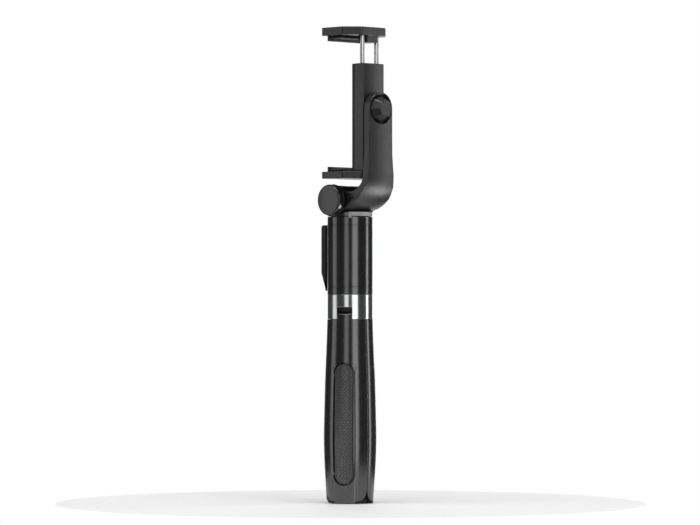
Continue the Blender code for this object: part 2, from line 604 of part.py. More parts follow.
def make_top_jaw():
    """The sliding jaw with its pad, the two chrome rods and the bridge that joins them."""
    jaw = plate("top_jaw", jaw_outline(), "XY", TOP_JAW_LOW, TOP_JAW_HIGH, SATIN, bevel=0.7)
    lip_low = (-LIP_X, JAW_FRONT + 0.9, TOP_JAW_LOW - LIP_HEIGHT)
    join(jaw, box("top_lip", lip_low, (LIP_X, LIP_Y, TOP_JAW_LOW + 1)))
    join(jaw, box("jaw_block", (-3.8, 10.0, BLOCK_LOW), (3.8, 17.2, TOP_JAW_LOW + 1)))
    pad_high = TOP_JAW_LOW - GAP
    pad_low = pad_high - PAD_THICKNESS
    pad_corners = ((-PAD_X, PAD_FRONT, pad_low), (PAD_X, PAD_BACK, pad_high))
    pad = box("top_jaw_pad", *pad_corners, RUBBER, bevel=0.3)
    bridge = box("rod_bridge", (-6.6, 12.6, BRIDGE_LOW), (6.6, 16.6, BRIDGE_HIGH), DARK)
    rods = []
    for number, x in enumerate((-ROD_X, ROD_X), 1):
        socket = ((x, ROD_Y, 240), (x, ROD_Y, SOCKET_TOP))
        cut(jaw, rod(f"rod_socket_{number}", *socket, ROD_R + GAP, sides=16))
        ends = ((x, ROD_Y, BRIDGE_HIGH + GAP), (x, ROD_Y, SOCKET_TOP - GAP))
        rods.append(rod(f"clamp_rod_{number}", *ends, ROD_R, CHROME, sides=16))
    return [jaw, pad, bridge, *rods]


def make_remote():
    """Remote: back and front shells, board, coin cell, indicator lens, and the button that presses in."""
    back_low, back_high = (-REMOTE_X, REMOTE_SPLIT, REMOTE_LOW), (REMOTE_X, REMOTE_BACK, REMOTE_HIGH)
    back = box("remote_back", back_low, back_high, GLOSS, bevel=0.3)
    split = REMOTE_SPLIT - GAP
    chamfer = [(REMOTE_FRONT, REMOTE_HIGH - 0.8), (REMOTE_FRONT + 0.8, REMOTE_HIGH)]
    face = [(split - 0.4, REMOTE_LOW), (REMOTE_FRONT, REMOTE_SHOULDER), *chamfer]
    outline = [*face, (split, REMOTE_HIGH), (split, REMOTE_LOW)]
    front = plate("remote_front", outline, "YZ", -REMOTE_X, REMOTE_X, GLOSS, bevel=0.3)
    cut(front, box("remote_hollow", (-4.8, -14.9, 122), (4.8, -12, 149.5)))
    cut(front, rod("button_hole", (0, -18, BUTTON_Z), (0, -13, BUTTON_Z), BUTTON_R + GAP))
    lens_z = 147.2
    cut(front, rod("lens_hole", (0, -18, lens_z), (0, -13, lens_z), 1.1, sides=12))
    board = box("remote_board", (-4.4, -13.5, 122.6), (4.4, -12.8, 148.9), BOARD)
    cell = rod("remote_cell", (0, -14.6, 129.5), (0, -13.8, 129.5), 4.2, STEEL)
    lens = rod("remote_lens", (0, -16.5, lens_z), (0, -14.6, lens_z), 0.8, LENS, sides=12)
    button = rod("remote_button", (0, -17.0, BUTTON_Z), (0, -14.6, BUTTON_Z), BUTTON_R, SATIN)
    add_bevel(button, 0.3)
    return [back, front, board, cell, lens], [button]


def set_on_joint(name, pivot, members, parent=None):
    """Parents a moving group to an empty that stands on the group's joint axis."""
    empty = bpy.data.objects.new(f"joint_{name}", None)
    PARTS.objects.link(empty)
    empty.empty_display_size = 0.01
    empty.matrix_world = Matrix.Translation(pivot)
    if parent is not None:
        empty.parent = parent
        empty.matrix_parent_inverse = parent.matrix_world.inverted()
    bpy.context.view_layer.update()
    for member in members:
        member.parent = empty
        member.matrix_parent_inverse = empty.matrix_world.inverted()
    bpy.context.view_layer.update()
    return empty


def build():
    make_hub()
    for name, (pivot, members) in make_legs().items():
        set_on_joint(name, pivot, members)
    sections = make_pole()
    parent = None
    for number, members in enumerate(sections[1:-1], 2):
        parent = set_on_joint(f"tube_{number}", Vector((0, 0, TUBE_LOW * MM)), members, parent)
    barrel = set_on_joint("barrel", Vector((0, 0, BARREL_LOW * MM)), sections[-1] + make_barrel(), parent)
    arm = set_on_joint("arm", Vector((0, 0, TILT_Z * MM)), make_arm(), barrel)
    clamp = set_on_joint("clamp", Vector((0, CASE_BACK, ROLL_Z)) * MM, make_clamp(), arm)
    set_on_joint("top_jaw", Vector((0, ROD_Y, BRIDGE_HIGH)) * MM, make_top_jaw(), clamp)
    remote_pieces, button_pieces = make_remote()
    remote = set_on_joint("remote", Vector((0, REMOTE_BACK, BUTTON_Z)) * MM, remote_pieces, barrel)
    set_on_joint("remote_button", Vector((0, REMOTE_FRONT, BUTTON_Z)) * MM, button_pieces, remote)


build()
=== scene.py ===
"""Studio picture of the tripod selfie stick: fine surfaces, materials, camera and lights round the frame.

Sizes are in millimetres and MM turns them into metres. The frame's origin is on the stick's axis, under
the closed legs, with +Z up the stick and -Y towards the phone's screen side.
"""

import json
import math

import bmesh
import bpy
import numpy as np
from mathutils import Matrix, Vector


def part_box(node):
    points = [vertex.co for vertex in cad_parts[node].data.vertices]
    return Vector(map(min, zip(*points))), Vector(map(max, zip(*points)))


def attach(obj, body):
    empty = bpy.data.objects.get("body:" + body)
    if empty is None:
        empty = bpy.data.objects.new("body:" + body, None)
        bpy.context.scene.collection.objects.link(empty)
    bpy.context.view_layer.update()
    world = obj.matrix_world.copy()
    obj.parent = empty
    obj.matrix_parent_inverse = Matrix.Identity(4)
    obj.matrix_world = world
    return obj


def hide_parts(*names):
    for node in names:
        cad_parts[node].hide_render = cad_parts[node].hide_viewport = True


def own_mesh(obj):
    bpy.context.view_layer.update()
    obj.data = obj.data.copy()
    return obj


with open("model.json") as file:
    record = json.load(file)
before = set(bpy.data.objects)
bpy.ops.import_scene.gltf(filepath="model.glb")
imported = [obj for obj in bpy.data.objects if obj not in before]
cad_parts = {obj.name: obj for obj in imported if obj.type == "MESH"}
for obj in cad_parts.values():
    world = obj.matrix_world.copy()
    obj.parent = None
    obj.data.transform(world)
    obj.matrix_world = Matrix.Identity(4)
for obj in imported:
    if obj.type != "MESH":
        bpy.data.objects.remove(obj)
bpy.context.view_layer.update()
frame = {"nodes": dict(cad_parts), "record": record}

MM = 0.001
STEPS = 144  # facets round the big turned pieces
SOFT_ANGLE = math.radians(32)  # edges flatter than this are shaded smooth

# Handle: heights and outer radii of the closed legs
HANDLE_Z = (0, 3.5, 12, 25, 36, 45, 67, 86, 99.5)
HANDLE_R = (12.5, 12.85, 13.45, 14.15, 14.4, 14.2, 13.66, 12.85, 12.4)
LEG_ANGLES = {1: 270, 2: 30, 3: 150}
LEG_HALF_ANGLE = math.radians(60)
LEG_GAP = 0.15
SHELL_WALL, SHELL_EDGE, SHELL_CORNER = 2.1, 0.3, 5.5
SHELL_TOP, SHELL_TOP_INSIDE, TOP_EDGE = 99.75, 99.3, 0.1
TOE_HALF_WIDTH, TOE_HEIGHT = 6.0, 1.25
GRIP_HALF_WIDTH, GRIP_LOW, GRIP_HIGH = 5.75, 10.0, 76.0
GRIP_GAP, GRIP_RECESS, GRIP_LIP = 0.25, 1.2, 0.15
SCALE_WIDTH, SCALE_ROW, SCALE_RISE = 1.7, 1.05, 0.5

# Hub
HINGE_R, HINGE_Z = 10.5, 101.2
TAB_HALF_WIDTH, TAB_SKIN = 3.95, 12.3
NOTCH_HALF_WIDTH, NOTCH_TOP = 4.25, 106.4
RING_TOP, SLEEVE_LOW = 113.05, 113.13
PIN_HOLE_R, PIN_HOLE_END = 0.6, 4.95

# Barrel and tilt knuckle
SEAM_HEIGHTS = (117.4, 150.8)
SEAM_DEPTH = 0.16
PLATE_RIM_LOW, PLATE_HUB_R, PLATE_BOSS_R = 155.8, 3.0, 10.3
INSERT_START, INSERT_END, TAB_END, TAB_LOW = 41, 139, 49, 154.8
WINDOW_HALF_WIDTH = 6.3
TILT_Z = 164.4
EAR_R, EAR_X, SLOT_X, SLOT_R = 8.0, 12.4, 5.3, 8.3
BOLT_HOLE_R = 2.1
COLLAR_R = 8.6

# Arm
ARM_BACK, ARM_FRONT = 24.1, 19.6
BEND_Z, BEND_HEIGHT = 178.0, 20.7
ARM_HALF_WIDTH = 8.95
CROWN = 0.5  # fall of the arm's and the case's outer side from the middle to the edge
ROLL_Z = 213.5
SEAT_R, SEAT_Y = 8.2, 21.8
KNOB_SEAT_R, KNOB_END_R = 7.8, 4.5

# Clamp
ROD_X, ROD_Y = 5.4, 14.8
JAW_X, JAW_FRONT, JAW_SIDE_END, JAW_BACK, JAW_BACK_X = 16.6, -5.4, 11.0, 18.3, 8.8
LIP_X, LIP_Y, LIP_HEIGHT = 13.0, -3.4, 2.8
ROD_HOLE_R, SOCKET_TOP = 1.55, 255.9

# Remote
BUTTON_Z, LENS_Z = 141.0, 147.2


def span(node):
    """Lowest and highest corner of a CAD node in millimetres."""
    low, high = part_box(node)
    return [c / MM for c in low], [c / MM for c in high]


# ---------------------------------------------------------------- materials


def noise(tree, coords, scale, detail=2.0):
    """A noise texture on the object's own coordinates; scale is in features per metre."""
    node = tree.nodes.new("ShaderNodeTexNoise")
    node.inputs["Scale"].default_value = scale
    node.inputs["Detail"].default_value = detail
    tree.links.new(coords, node.inputs["Vector"])
    return node.outputs["Fac"]


def remap(tree, value, low, high, start=0.3, end=0.7):
    node = tree.nodes.new("ShaderNodeMapRange")
    node.inputs["From Min"].default_value = start
    node.inputs["From Max"].default_value = end
    node.inputs["To Min"].default_value = low
    node.inputs["To Max"].default_value = high
    tree.links.new(value, node.inputs["Value"])
    return node.outputs["Result"]


def finish(name, dark, light, rough, metallic=0.0, ior=1.5, grain=3000, bump=0.0, painted_relief_shade=False):
    """A Principled material: colour and roughness drift between two values, and fine grain lifts the surface.

    With that flag set, the colour follows the piece's stored height: painted shade darkens the hollows and a painted
    highlight lightens the tops.
    """
    material = bpy.data.materials.new(name)
    material.use_nodes = True
    tree = material.node_tree
    shader = tree.nodes["Principled BSDF"]
    shader.inputs["Metallic"].default_value = metallic
    shader.inputs["IOR"].default_value = ior
    place = tree.nodes.new("ShaderNodeTexCoord")
    coords = place.outputs["Object"]

    # Painted shade in the hollows and a painted highlight on the tops, taken from the stored height of the surface.
    if painted_relief_shade:
        height = tree.nodes.new("ShaderNodeAttribute")
        height.attribute_name = "painted_relief_shade"
        share = remap(tree, height.outputs["Fac"], 0, 1, 0.55, 1.0)
    else:
        share = remap(tree, noise(tree, coords, 160, 4.0), 0, 1)
    colours = tree.nodes.new("ShaderNodeMix")
    colours.data_type = "RGBA"
    colours.inputs["A"].default_value = (*dark, 1)
    colours.inputs["B"].default_value = (*light, 1)
    tree.links.new(share, colours.inputs["Factor"])
    tree.links.new(colours.outputs["Result"], shader.inputs["Base Color"])
    tree.links.new(remap(tree, noise(tree, coords, 420, 3.0), *rough), shader.inputs["Roughness"])
    if bump:
        lift = tree.nodes.new("ShaderNodeBump")
        lift.inputs["Strength"].default_value = 1.0
        lift.inputs["Distance"].default_value = bump * MM
        tree.links.new(noise(tree, coords, grain), lift.inputs["Height"])
        tree.links.new(lift.outputs["Normal"], shader.inputs["Normal"])
    material.diffuse_color = (*light, 1)
    return material


FINISHES = {
    "gloss_black": finish("gloss_black", (0.008,) * 3, (0.012, 0.012, 0.013), (0.17, 0.21), ior=1.9),
    "satin_black": finish("satin_black", (0.010,) * 3, (0.015, 0.015, 0.016), (0.32, 0.38), ior=1.62, bump=0.003),
    "knob_black": finish("knob_black", (0.009,) * 3, (0.013, 0.013, 0.014), (0.20, 0.25), ior=1.66),
    "remote_black": finish("remote_black", (0.007,) * 3, (0.010, 0.010, 0.011), (0.38, 0.46), ior=1.4, bump=0.004),
    "inner_black": finish("inner_black", (0.006,) * 3, (0.011, 0.011, 0.011), (0.55, 0.68), bump=0.006),
    "soft_rubber": finish("soft_rubber", (0.011,) * 3, (0.019, 0.019, 0.020), (0.52, 0.64), ior=1.5, bump=0.012),
    # The grip's dark value is painted shade in its hollows, and its light value is a painted highlight on the scale
    # tops.
    "grip_rubber_painted_shade": finish("grip_rubber_painted_shade", (0.002,) * 3, (0.055,) * 3, (0.34, 0.44), ior=1.7, bump=0.004, painted_relief_shade=True),
    "bright_chrome": finish("bright_chrome", (0.58, 0.59, 0.60), (0.66, 0.67, 0.68), (0.15, 0.20), metallic=1.0),
    "steel": finish("steel", (0.42, 0.43, 0.44), (0.55, 0.56, 0.57), (0.24, 0.34), metallic=1.0, bump=0.002),
    "grey_plate": finish("grey_plate", (0.36, 0.37, 0.38), (0.43, 0.44, 0.45), (0.34, 0.42), bump=0.004),
    "circuit_board": finish("circuit_board", (0.010, 0.085, 0.030), (0.022, 0.140, 0.052), (0.36, 0.48), bump=0.008),
    "indicator": finish("indicator", (0.035, 0.12, 0.40), (0.055, 0.18, 0.52), (0.08, 0.14), ior=1.55),
}

# ---------------------------------------------------------------- shapes


def link(name, mesh):
    made = bpy.data.objects.new(name, mesh)
    bpy.context.scene.collection.objects.link(made)
    return made


def from_shape(name, shape):
    """The object of a finished bmesh, in metres, smooth where its edges are flat."""
    bmesh.ops.recalc_face_normals(shape, faces=shape.faces)
    mesh = bpy.data.meshes.new(name)
    shape.to_mesh(mesh)
    shape.free()
    mesh.shade_smooth()
    mesh.set_sharp_from_angle(angle=SOFT_ANGLE)
    return link(name, mesh)


def settled(made, weld=0.0):
    """The object as its modifiers leave it, as a plain mesh."""
    bpy.context.view_layer.update()
    graph = bpy.context.evaluated_depsgraph_get()
    mesh = bpy.data.meshes.new_from_object(made.evaluated_get(graph))
    shape = bmesh.new()
    shape.from_mesh(mesh)
    if weld:
        bmesh.ops.remove_doubles(shape, verts=shape.verts, dist=weld * MM)
    name = made.name
    bpy.data.objects.remove(made, do_unlink=True)
    return from_shape(name, shape)


def combine(made, operation, *others):
    """A Boolean with each of the others in turn, which are used up."""
    for other in others:
        step = made.modifiers.new(operation.lower(), "BOOLEAN")
        step.operation = operation
        step.solver = "EXACT"
        step.object = other
    made = settled(made, 0.002)
    for other in others:
        bpy.data.objects.remove(other, do_unlink=True)
    return made


def soften(made, width, segments=3, angle=35):
    """Rounds the edges, and lets the big faces keep their own normals."""
    bevel = made.modifiers.new("edge", "BEVEL")
    bevel.width = width * MM
    bevel.segments = segments
    bevel.limit_method = "ANGLE"
    bevel.angle_limit = math.radians(angle)
    bevel.use_clamp_overlap = False
    bevel.miter_outer = "MITER_ARC"
    made.data.shade_smooth()
    weighted = made.modifiers.new("normals", "WEIGHTED_NORMAL")
    weighted.keep_sharp = True
    weighted.weight = 80
    return made


def rounded(corners, steps=5):
    """An outline whose corners, given as (x, y, fillet), are rounded."""
    outline = []
    for index, (x, y, fillet) in enumerate(corners):
        here = Vector((x, y))
        if not fillet:
            outline.append((x, y))
            continue
        before = (Vector(corners[index - 1][:2]) - here).normalized()
        after = (Vector(corners[(index + 1) % len(corners)][:2]) - here).normalized()
        half = before.angle(after) / 2
        centre = here + (before + after).normalized() * fillet / math.sin(half)
        start = here + before * fillet / math.tan(half) - centre
        end = here + after * fillet / math.tan(half) - centre
        first = math.atan2(start.y, start.x)
        sweep = (math.atan2(end.y, end.x) - first + math.pi) % math.tau - math.pi
        for step in range(steps + 1):
            turn = first + sweep * step / steps
            outline.append((centre.x + fillet * math.cos(turn), centre.y + fillet * math.sin(turn)))
    return outline


def turned(name, profile, steps=STEPS, closed=True):
    """A profile of (radius, height) points turned about Z."""
    shape = bmesh.new()
    loops = []
    for radius, z in profile:
        if radius < 1e-6:
            loops.append([shape.verts.new((0, 0, z * MM))] * steps)
            continue
        turns = [math.tau * step / steps for step in range(steps)]
        loops.append([shape.verts.new((radius * MM * math.cos(t), radius * MM * math.sin(t), z * MM)) for t in turns])
    following = loops[1:] + loops[:1] if closed else loops[1:]
    for upper, lower in zip(loops, following):
        for step in range(steps):
            beside = (step + 1) % steps
            corners = list(dict.fromkeys((upper[step], lower[step], lower[beside], upper[beside])))
            if len(corners) > 2:
                shape.faces.new(corners)
    return from_shape(name, shape)


def ring(outer, inner, low, high, edge=0.25):
    """Profile of a ring with rounded edges."""
    return rounded([(outer, high, edge), (outer, low, edge), (inner, low, edge), (inner, high, edge)], 4)


def solid(radius, low, high, edge=0.3):
    """Profile of a round bar with rounded ends."""
    return [(0, high), *rounded([(0, high, 0), (radius, high, edge), (radius, low, edge), (0, low, 0)], 5)[1:-1], (0, low)]


def aim(made, origin, axis):
    """Moves a piece turned about Z so that its own origin and Z go to a place and an axis."""
    turn = Vector((0, 0, 1)).rotation_difference(Vector(axis)).to_matrix().to_4x4()
    made.data.transform(Matrix.Translation(Vector(origin) * MM) @ turn)
    return made


def bar(name, start, end, radius, edge=0.0, steps=96):
    """A round bar from one point to another."""
    along = Vector(end) - Vector(start)
    plain = ((0, along.length), (radius, along.length), (radius, 0), (0, 0))
    profile = solid(radius, 0, along.length, edge) if edge else plain
    return aim(turned(name, profile, steps, closed=False), start, along)


def plate(name, outline, plane, low, high):
    """A flat outline in a plane, thickened from low to high along the third axis."""
    order = {"XY": (0, 1, 2), "XZ": (0, 2, 1), "YZ": (1, 2, 0)}[plane]
    shape = bmesh.new()
    corners = []
    for x, y in outline:
        point = [0, 0, 0]
        point[order[0]], point[order[1]], point[order[2]] = x * MM, y * MM, low * MM
        corners.append(shape.verts.new(point))
    face = shape.faces.new(corners)
    shape.normal_update()
    raised = bmesh.ops.extrude_face_region(shape, geom=[face])["geom"]
    shift = [0, 0, 0]
    shift[order[2]] = (high - low) * MM
    bmesh.ops.translate(shape, vec=shift, verts=[item for item in raised if isinstance(item, bmesh.types.BMVert)])
    return from_shape(name, shape)


def block(name, low, high):
    """A plain block between two corners, to be cut, joined or softened."""
    return plate(name, [(low[0], low[1]), (high[0], low[1]), (high[0], high[1]), (low[0], high[1])], "XY", low[2], high[2])


def show(made, body, slot, *nodes, look=None):
    """Gives a piece its material, its body and the CAD nodes that it stands for."""
    made.data.materials.clear()
    made.data.materials.append(FINISHES[look or slot])
    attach(made, body)
    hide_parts(*nodes)
    return made


def refined(node, body, slot, edge, segments=3, angle=35, look=None):
    """A CAD node's own shape with its edges rounded more finely."""
    source = frame["nodes"][node]
    shape = bmesh.new()
    shape.from_mesh(source.data)
    shape.transform(source.matrix_world)
    bmesh.ops.remove_doubles(shape, verts=shape.verts, dist=0.002 * MM)
    bmesh.ops.dissolve_limit(shape, angle_limit=math.radians(0.5), verts=shape.verts, edges=shape.edges)
    made = soften(from_shape(f"fine_{node}", shape), edge, segments, angle)
    return show(made, body, slot, node, look=look)


# ---------------------------------------------------------------- legs


def handle_radius(z):
    """Outer radius of the closed handle at a height, without the kinks between the driving points."""
    spread = np.linspace(-5, 5, 11)
    return float(np.mean(np.interp(z + spread, HANDLE_Z, HANDLE_R)))


def toe_height(along, half_arc):
    """Height of a leg shell's lower edge at a distance along its arc from the middle."""
    from_corner = abs(along) - (half_arc - SHELL_CORNER)
    if from_corner > 0:
        across = min(from_corner, SHELL_CORNER)
        return TOE_HEIGHT + SHELL_CORNER - math.sqrt(SHELL_CORNER**2 - across**2)
    return TOE_HEIGHT * min(max((abs(along) - TOE_HALF_WIDTH) / 0.6, 0), 1)


def eased(distance, edge):
    """How far a rounded edge has fallen at a distance from the rim."""
    inside = min(max(distance, 0), edge)
    return edge - math.sqrt(edge**2 - (edge - inside) ** 2)


def slot_end(along, half_width):
    """Height of a round slot end over its centre at a distance from the middle."""
    return math.sqrt(max(half_width**2 - along**2, 0))


def shell_columns(half_arc, slot_half):
    """Places across a leg as (distance along the arc, depth of the recess there)."""
    rims = [SHELL_EDGE * (1 - math.cos(math.radians(15 * step))) for step in range(7)]
    flank = np.linspace(slot_half + GRIP_LIP, half_arc - SHELL_EDGE, 16)[:-1]
    right = [(float(along), 0.0) for along in flank] + [(half_arc - rim, 0.0) for rim in reversed(rims)]
    middle = [(slot_half * math.sin(turn), GRIP_RECESS) for turn in np.linspace(-math.pi / 2, math.pi / 2, 31)]
    left = [(-along, depth) for along, depth in reversed(right)]
    return [*left, (-slot_half, GRIP_LIP), *middle, (slot_half, GRIP_LIP), *right]


def shell_rows(low, slot_low, slot_high, high, recessed):
    """Heights up a leg at one column as (height, level: 0 the skin, 1 the slot's lip, 2 its floor)."""
    rims = [SHELL_EDGE * (1 - math.cos(math.radians(15 * step))) for step in range(7)]
    if not recessed:
        flank = [(float(z), 0) for z in np.linspace(low + SHELL_EDGE, high - SHELL_EDGE, 98)[1:]]
        return [(low + rim, 0) for rim in rims] + flank + [(high - rim, 0) for rim in reversed(rims[:-1])]
    rows = [(low + rim, 0) for rim in rims]
    rows += [(float(z), 0) for z in np.linspace(low + SHELL_EDGE, slot_low - GRIP_LIP, 12)[1:]]
    rows += [(slot_low, 1), (slot_low, 2)]
    rows += [(float(z), 2) for z in np.linspace(slot_low, slot_high, 60)[1:-1]]
    rows += [(slot_high, 2), (slot_high, 1)]
    rows += [(float(z), 0) for z in np.linspace(slot_high + GRIP_LIP, high - SHELL_EDGE, 24)]
    return rows + [(high - rim, 0) for rim in reversed(rims[:-1])]


def stitch(shape, grid):
    """Faces between neighbouring columns of points."""
    for one, other in zip(grid, grid[1:]):
        for step in range(len(one) - 1):
            shape.faces.new((one[step], other[step], other[step + 1], one[step + 1]))


def close_rim(shape, outer, inner):
    """Faces between the rims of two grids of the same size."""
    rims = []
    for grid in (outer, inner):
        tops = [column[-1] for column in grid[1:-1]]
        bottoms = [column[0] for column in reversed(grid[1:-1])]
        rims.append([*grid[0], *tops, *reversed(grid[-1]), *bottoms])
    count = len(rims[0])
    for step in range(count):
        beside = (step + 1) % count
        shape.faces.new((rims[0][step], rims[0][beside], rims[1][beside], rims[1][step]))


def leg_shell():
    """A leg's gloss shell that points along +X, with the recess that the grip sits in and the hinge tab."""
    half_arc = handle_radius(SHELL_CORNER) * LEG_HALF_ANGLE - LEG_GAP
    slot_half = GRIP_HALF_WIDTH + GRIP_GAP
    shape = bmesh.new()
    outer, inner = [], []
    for along, depth in shell_columns(half_arc, slot_half):
        rise = slot_end(along, slot_half) if depth else 0
        slot_low = GRIP_LOW - GRIP_GAP + slot_half - rise
        slot_high = GRIP_HIGH + GRIP_GAP - slot_half + rise
        low = toe_height(along, half_arc - LEG_GAP)
        outer.append([])
        inner.append([])
        for z, level in shell_rows(low, slot_low, slot_high, SHELL_TOP, depth > 0):
            radius = handle_radius(z)
            turn = along / handle_radius(SHELL_CORNER)
            fall = eased(half_arc - abs(along), SHELL_EDGE)
            fall = max(fall, eased(z - low, SHELL_EDGE), eased(SHELL_TOP - z, TOP_EDGE))
            sunk = min(depth, (0, GRIP_LIP, GRIP_RECESS)[level])
            spread = radius - max(fall, sunk)
            back = min(radius, handle_radius(HANDLE_Z[4])) - SHELL_WALL
            outer[-1].append(shape.verts.new((spread * math.cos(turn) * MM, spread * math.sin(turn) * MM, z * MM)))
            lower = min(z, SHELL_TOP_INSIDE)
            inner[-1].append(shape.verts.new((back * math.cos(turn) * MM, back * math.sin(turn) * MM, lower * MM)))
    stitch(shape, outer)
    stitch(shape, [list(reversed(column)) for column in inner])
    close_rim(shape, outer, inner)
    shell = from_shape("fine_leg_shell", shape)

    back = [(HINGE_R + 1.8 * math.cos(t), HINGE_Z + 1.8 * math.sin(t)) for t in np.radians(np.linspace(90, 200, 12))]
    side = [(10.6, 97), (TAB_SKIN + 1, 97), (TAB_SKIN + 1, 102.0), (TAB_SKIN - 0.2, 102.5), (11.5, 102.9)]
    tab = plate("tab", [*side, *back, (9.3, 99.6), (10.6, 98.9)], "XZ", -TAB_HALF_WIDTH, TAB_HALF_WIDTH)
    skin = turned("skin", ((0, 106), (TAB_SKIN, 106), (TAB_SKIN, 95), (0, 95)), closed=False)
    tab = combine(tab, "INTERSECT", skin)
    hole = bar("hole", (HINGE_R, -6, HINGE_Z), (HINGE_R, 6, HINGE_Z), PIN_HOLE_R, steps=32)
    tab = settled(soften(combine(tab, "DIFFERENCE", hole), 0.25, 3, 50))
    return joined("fine_leg_shell", shell, tab)


def joined(name, *parts):
    """One object from several, whose meshes stay as they are."""
    shape = bmesh.new()
    for part in parts:
        shape.from_mesh(part.data)
        bpy.data.objects.remove(part, do_unlink=True)
    return from_shape(name, shape)


def scale_height(along, z):
    """Height of the grip's pattern of overlapping scales, each rising towards its upper edge."""
    highest = 0.0
    row = math.floor(z / SCALE_ROW)
    for index in (row - 2, row - 1, row, row + 1):
        shift = 0.5 * (index % 2)
        column = round(along / SCALE_WIDTH - shift)
        across = along - (column + shift) * SCALE_WIDTH
        up = z - index * SCALE_ROW
        if (across / (0.52 * SCALE_WIDTH)) ** 2 + (up / (1.12 * SCALE_ROW)) ** 2 < 1:
            highest = max(highest, 0.5 + 0.45 * up / SCALE_ROW)
    return SCALE_RISE * highest


def leg_grip():
    """A leg's rubber grip along +X, with its rim, the flat border inside it and the raised scales."""
    shape = bmesh.new()
    grid = []
    floor = []
    for turn in np.linspace(-math.pi / 2, math.pi / 2, 84):
        along = GRIP_HALF_WIDTH * math.sin(turn)
        rise = slot_end(along, GRIP_HALF_WIDTH)
        low = GRIP_LOW + GRIP_HALF_WIDTH - rise
        high = GRIP_HIGH - GRIP_HALF_WIDTH + rise
        grid.append([])
        floor.append([])
        for z in np.linspace(low, high, 340):
            end = min(z - GRIP_LOW - GRIP_HALF_WIDTH, GRIP_HIGH - GRIP_HALF_WIDTH - z, 0)
            rim = GRIP_HALF_WIDTH - math.hypot(along, end)
            radius = handle_radius(float(z))
            angle = along / radius
            pattern = scale_height(along, float(z)) if rim > 0.75 else 0.0
            lip = 0.16 * math.exp(-(((rim - 0.45) / 0.2) ** 2))
            spread = radius - 0.42 + pattern + lip - 0.6 * eased(rim, 0.3)
            grid[-1].append(shape.verts.new((spread * math.cos(angle) * MM, spread * math.sin(angle) * MM, z * MM)))
            back = radius - 1.0
            floor[-1].append(shape.verts.new((back * math.cos(angle) * MM, back * math.sin(angle) * MM, z * MM)))
    stitch(shape, grid)
    stitch(shape, [list(reversed(column)) for column in floor])
    close_rim(shape, grid, floor)
    made = from_shape("fine_leg_grip", shape)
    # Each point's height above the hollows, stored for the material, which paints shade into the hollows and a
    # highlight onto the scale tops.
    painted_relief_shade = made.data.color_attributes.new("painted_relief_shade", "FLOAT_COLOR", "POINT")
    for point, colour in zip(made.data.vertices, painted_relief_shade.data):
        x, y, z = point.co / MM
        rise = (math.hypot(x, y) - handle_radius(z) + 0.42) / SCALE_RISE
        colour.color = (rise, rise, rise, 1)
    return made


def make_legs():
    """The three legs' shells and grips, each turned to its own place."""
    # The grip's look paints shade into its hollows and a highlight onto its scale tops.
    kinds = (("leg_shell", leg_shell, "gloss_black", None), ("leg_grip", leg_grip, "soft_rubber", "grip_rubber_painted_shade"))
    for name, build, slot, look in kinds:
        original = build()
        for number, angle in LEG_ANGLES.items():
            copy = link(f"fine_{name}_{number}", original.data.copy())
            copy.data.transform(Matrix.Rotation(math.radians(angle), 4, "Z"))
            show(copy, f"leg_{number}", slot, f"{name}_{number}", look=look)
        bpy.data.objects.remove(original, do_unlink=True)


# ---------------------------------------------------------------- hub, barrel and knuckle


def make_hub_ring():
    """The chrome ring with a notch and two blind pin holes for each leg."""
    low, high = span("hub_ring")
    made = turned("fine_hub_ring", ring(high[0], 10.5, low[2], RING_TOP, 0.12), 180)
    cutters = []
    for number, angle in LEG_ANGLES.items():
        half = NOTCH_HALF_WIDTH
        outline = rounded([(-half, low[2] - 2, 0), (half, low[2] - 2, 0), (half, NOTCH_TOP, 0.5), (-half, NOTCH_TOP, 0.5)])
        notch = plate(f"notch_{number}", outline, "YZ", 9, 14)
        hole = bar(f"hole_{number}", (HINGE_R, -PIN_HOLE_END, HINGE_Z), (HINGE_R, PIN_HOLE_END, HINGE_Z), PIN_HOLE_R)
        for cutter in (notch, hole):
            cutter.matrix_world = Matrix.Rotation(math.radians(angle), 4, "Z")
            cutters.append(cutter)
    made = combine(made, "DIFFERENCE", *cutters)
    show(soften(made, 0.12, 2, 50), "base", "bright_chrome", "hub_ring")


def make_barrel():
    """The barrel's gloss sleeve with two fine seams and the window for the remote, and the grey top plate."""
    low, high = span("barrel_shell")
    outer, inner = high[0], 10.9
    seams = []
    for z in sorted(SEAM_HEIGHTS, reverse=True):
        seams += [(outer, z + 0.22), (outer - SEAM_DEPTH, z + 0.08), (outer - SEAM_DEPTH, z - 0.08), (outer, z - 0.22)]
    top = rounded([(inner, high[2], 0.2), (outer, high[2], 0.35), (outer, 0, 0)], 4)[:-1]
    base = SLEEVE_LOW
    bottom = rounded([(outer, high[2], 0), (outer, base, 0.12), (inner, base, 0.1), (inner, high[2], 0)], 4)[1:-1]
    sleeve = turned("fine_barrel_shell", [*top, *seams, *bottom], 180)
    window_low, window_high = 115.0, 151.4
    half = WINDOW_HALF_WIDTH
    outline = rounded([(-half, window_low, 1), (half, window_low, 1), (half, window_high, 1), (-half, window_high, 1)])
    tab_notch = sector("tab_notch", 10.5, 13, TAB_LOW - 0.1, high[2] + 1, INSERT_START - 0.4, TAB_END + 0.4)
    sleeve = combine(sleeve, "DIFFERENCE", plate("window", outline, "XZ", -15, -8), tab_notch)
    show(soften(sleeve, 0.15, 2, 55), "barrel", "gloss_black", "barrel_shell")

    make_top_plate()
    lug = bar("fine_tilt_lug", (-5, 0, TILT_Z), (5, 0, TILT_Z), 7.9)
    lug = combine(lug, "UNION", block("lug_neck", (-4.99, -4.5, span("tilt_lug")[0][2]), (4.99, 4.5, TILT_Z)))
    holes = [bar("bore", (-8, 0, TILT_Z), (8, 0, TILT_Z), BOLT_HOLE_R)]
    holes.append(bar("pin_bore", (-8, 0, 152), (8, 0, 152), 1.2, steps=48))
    show(soften(combine(lug, "DIFFERENCE", *holes), 0.3, 3, 40), "barrel", "satin_black", "tilt_lug")


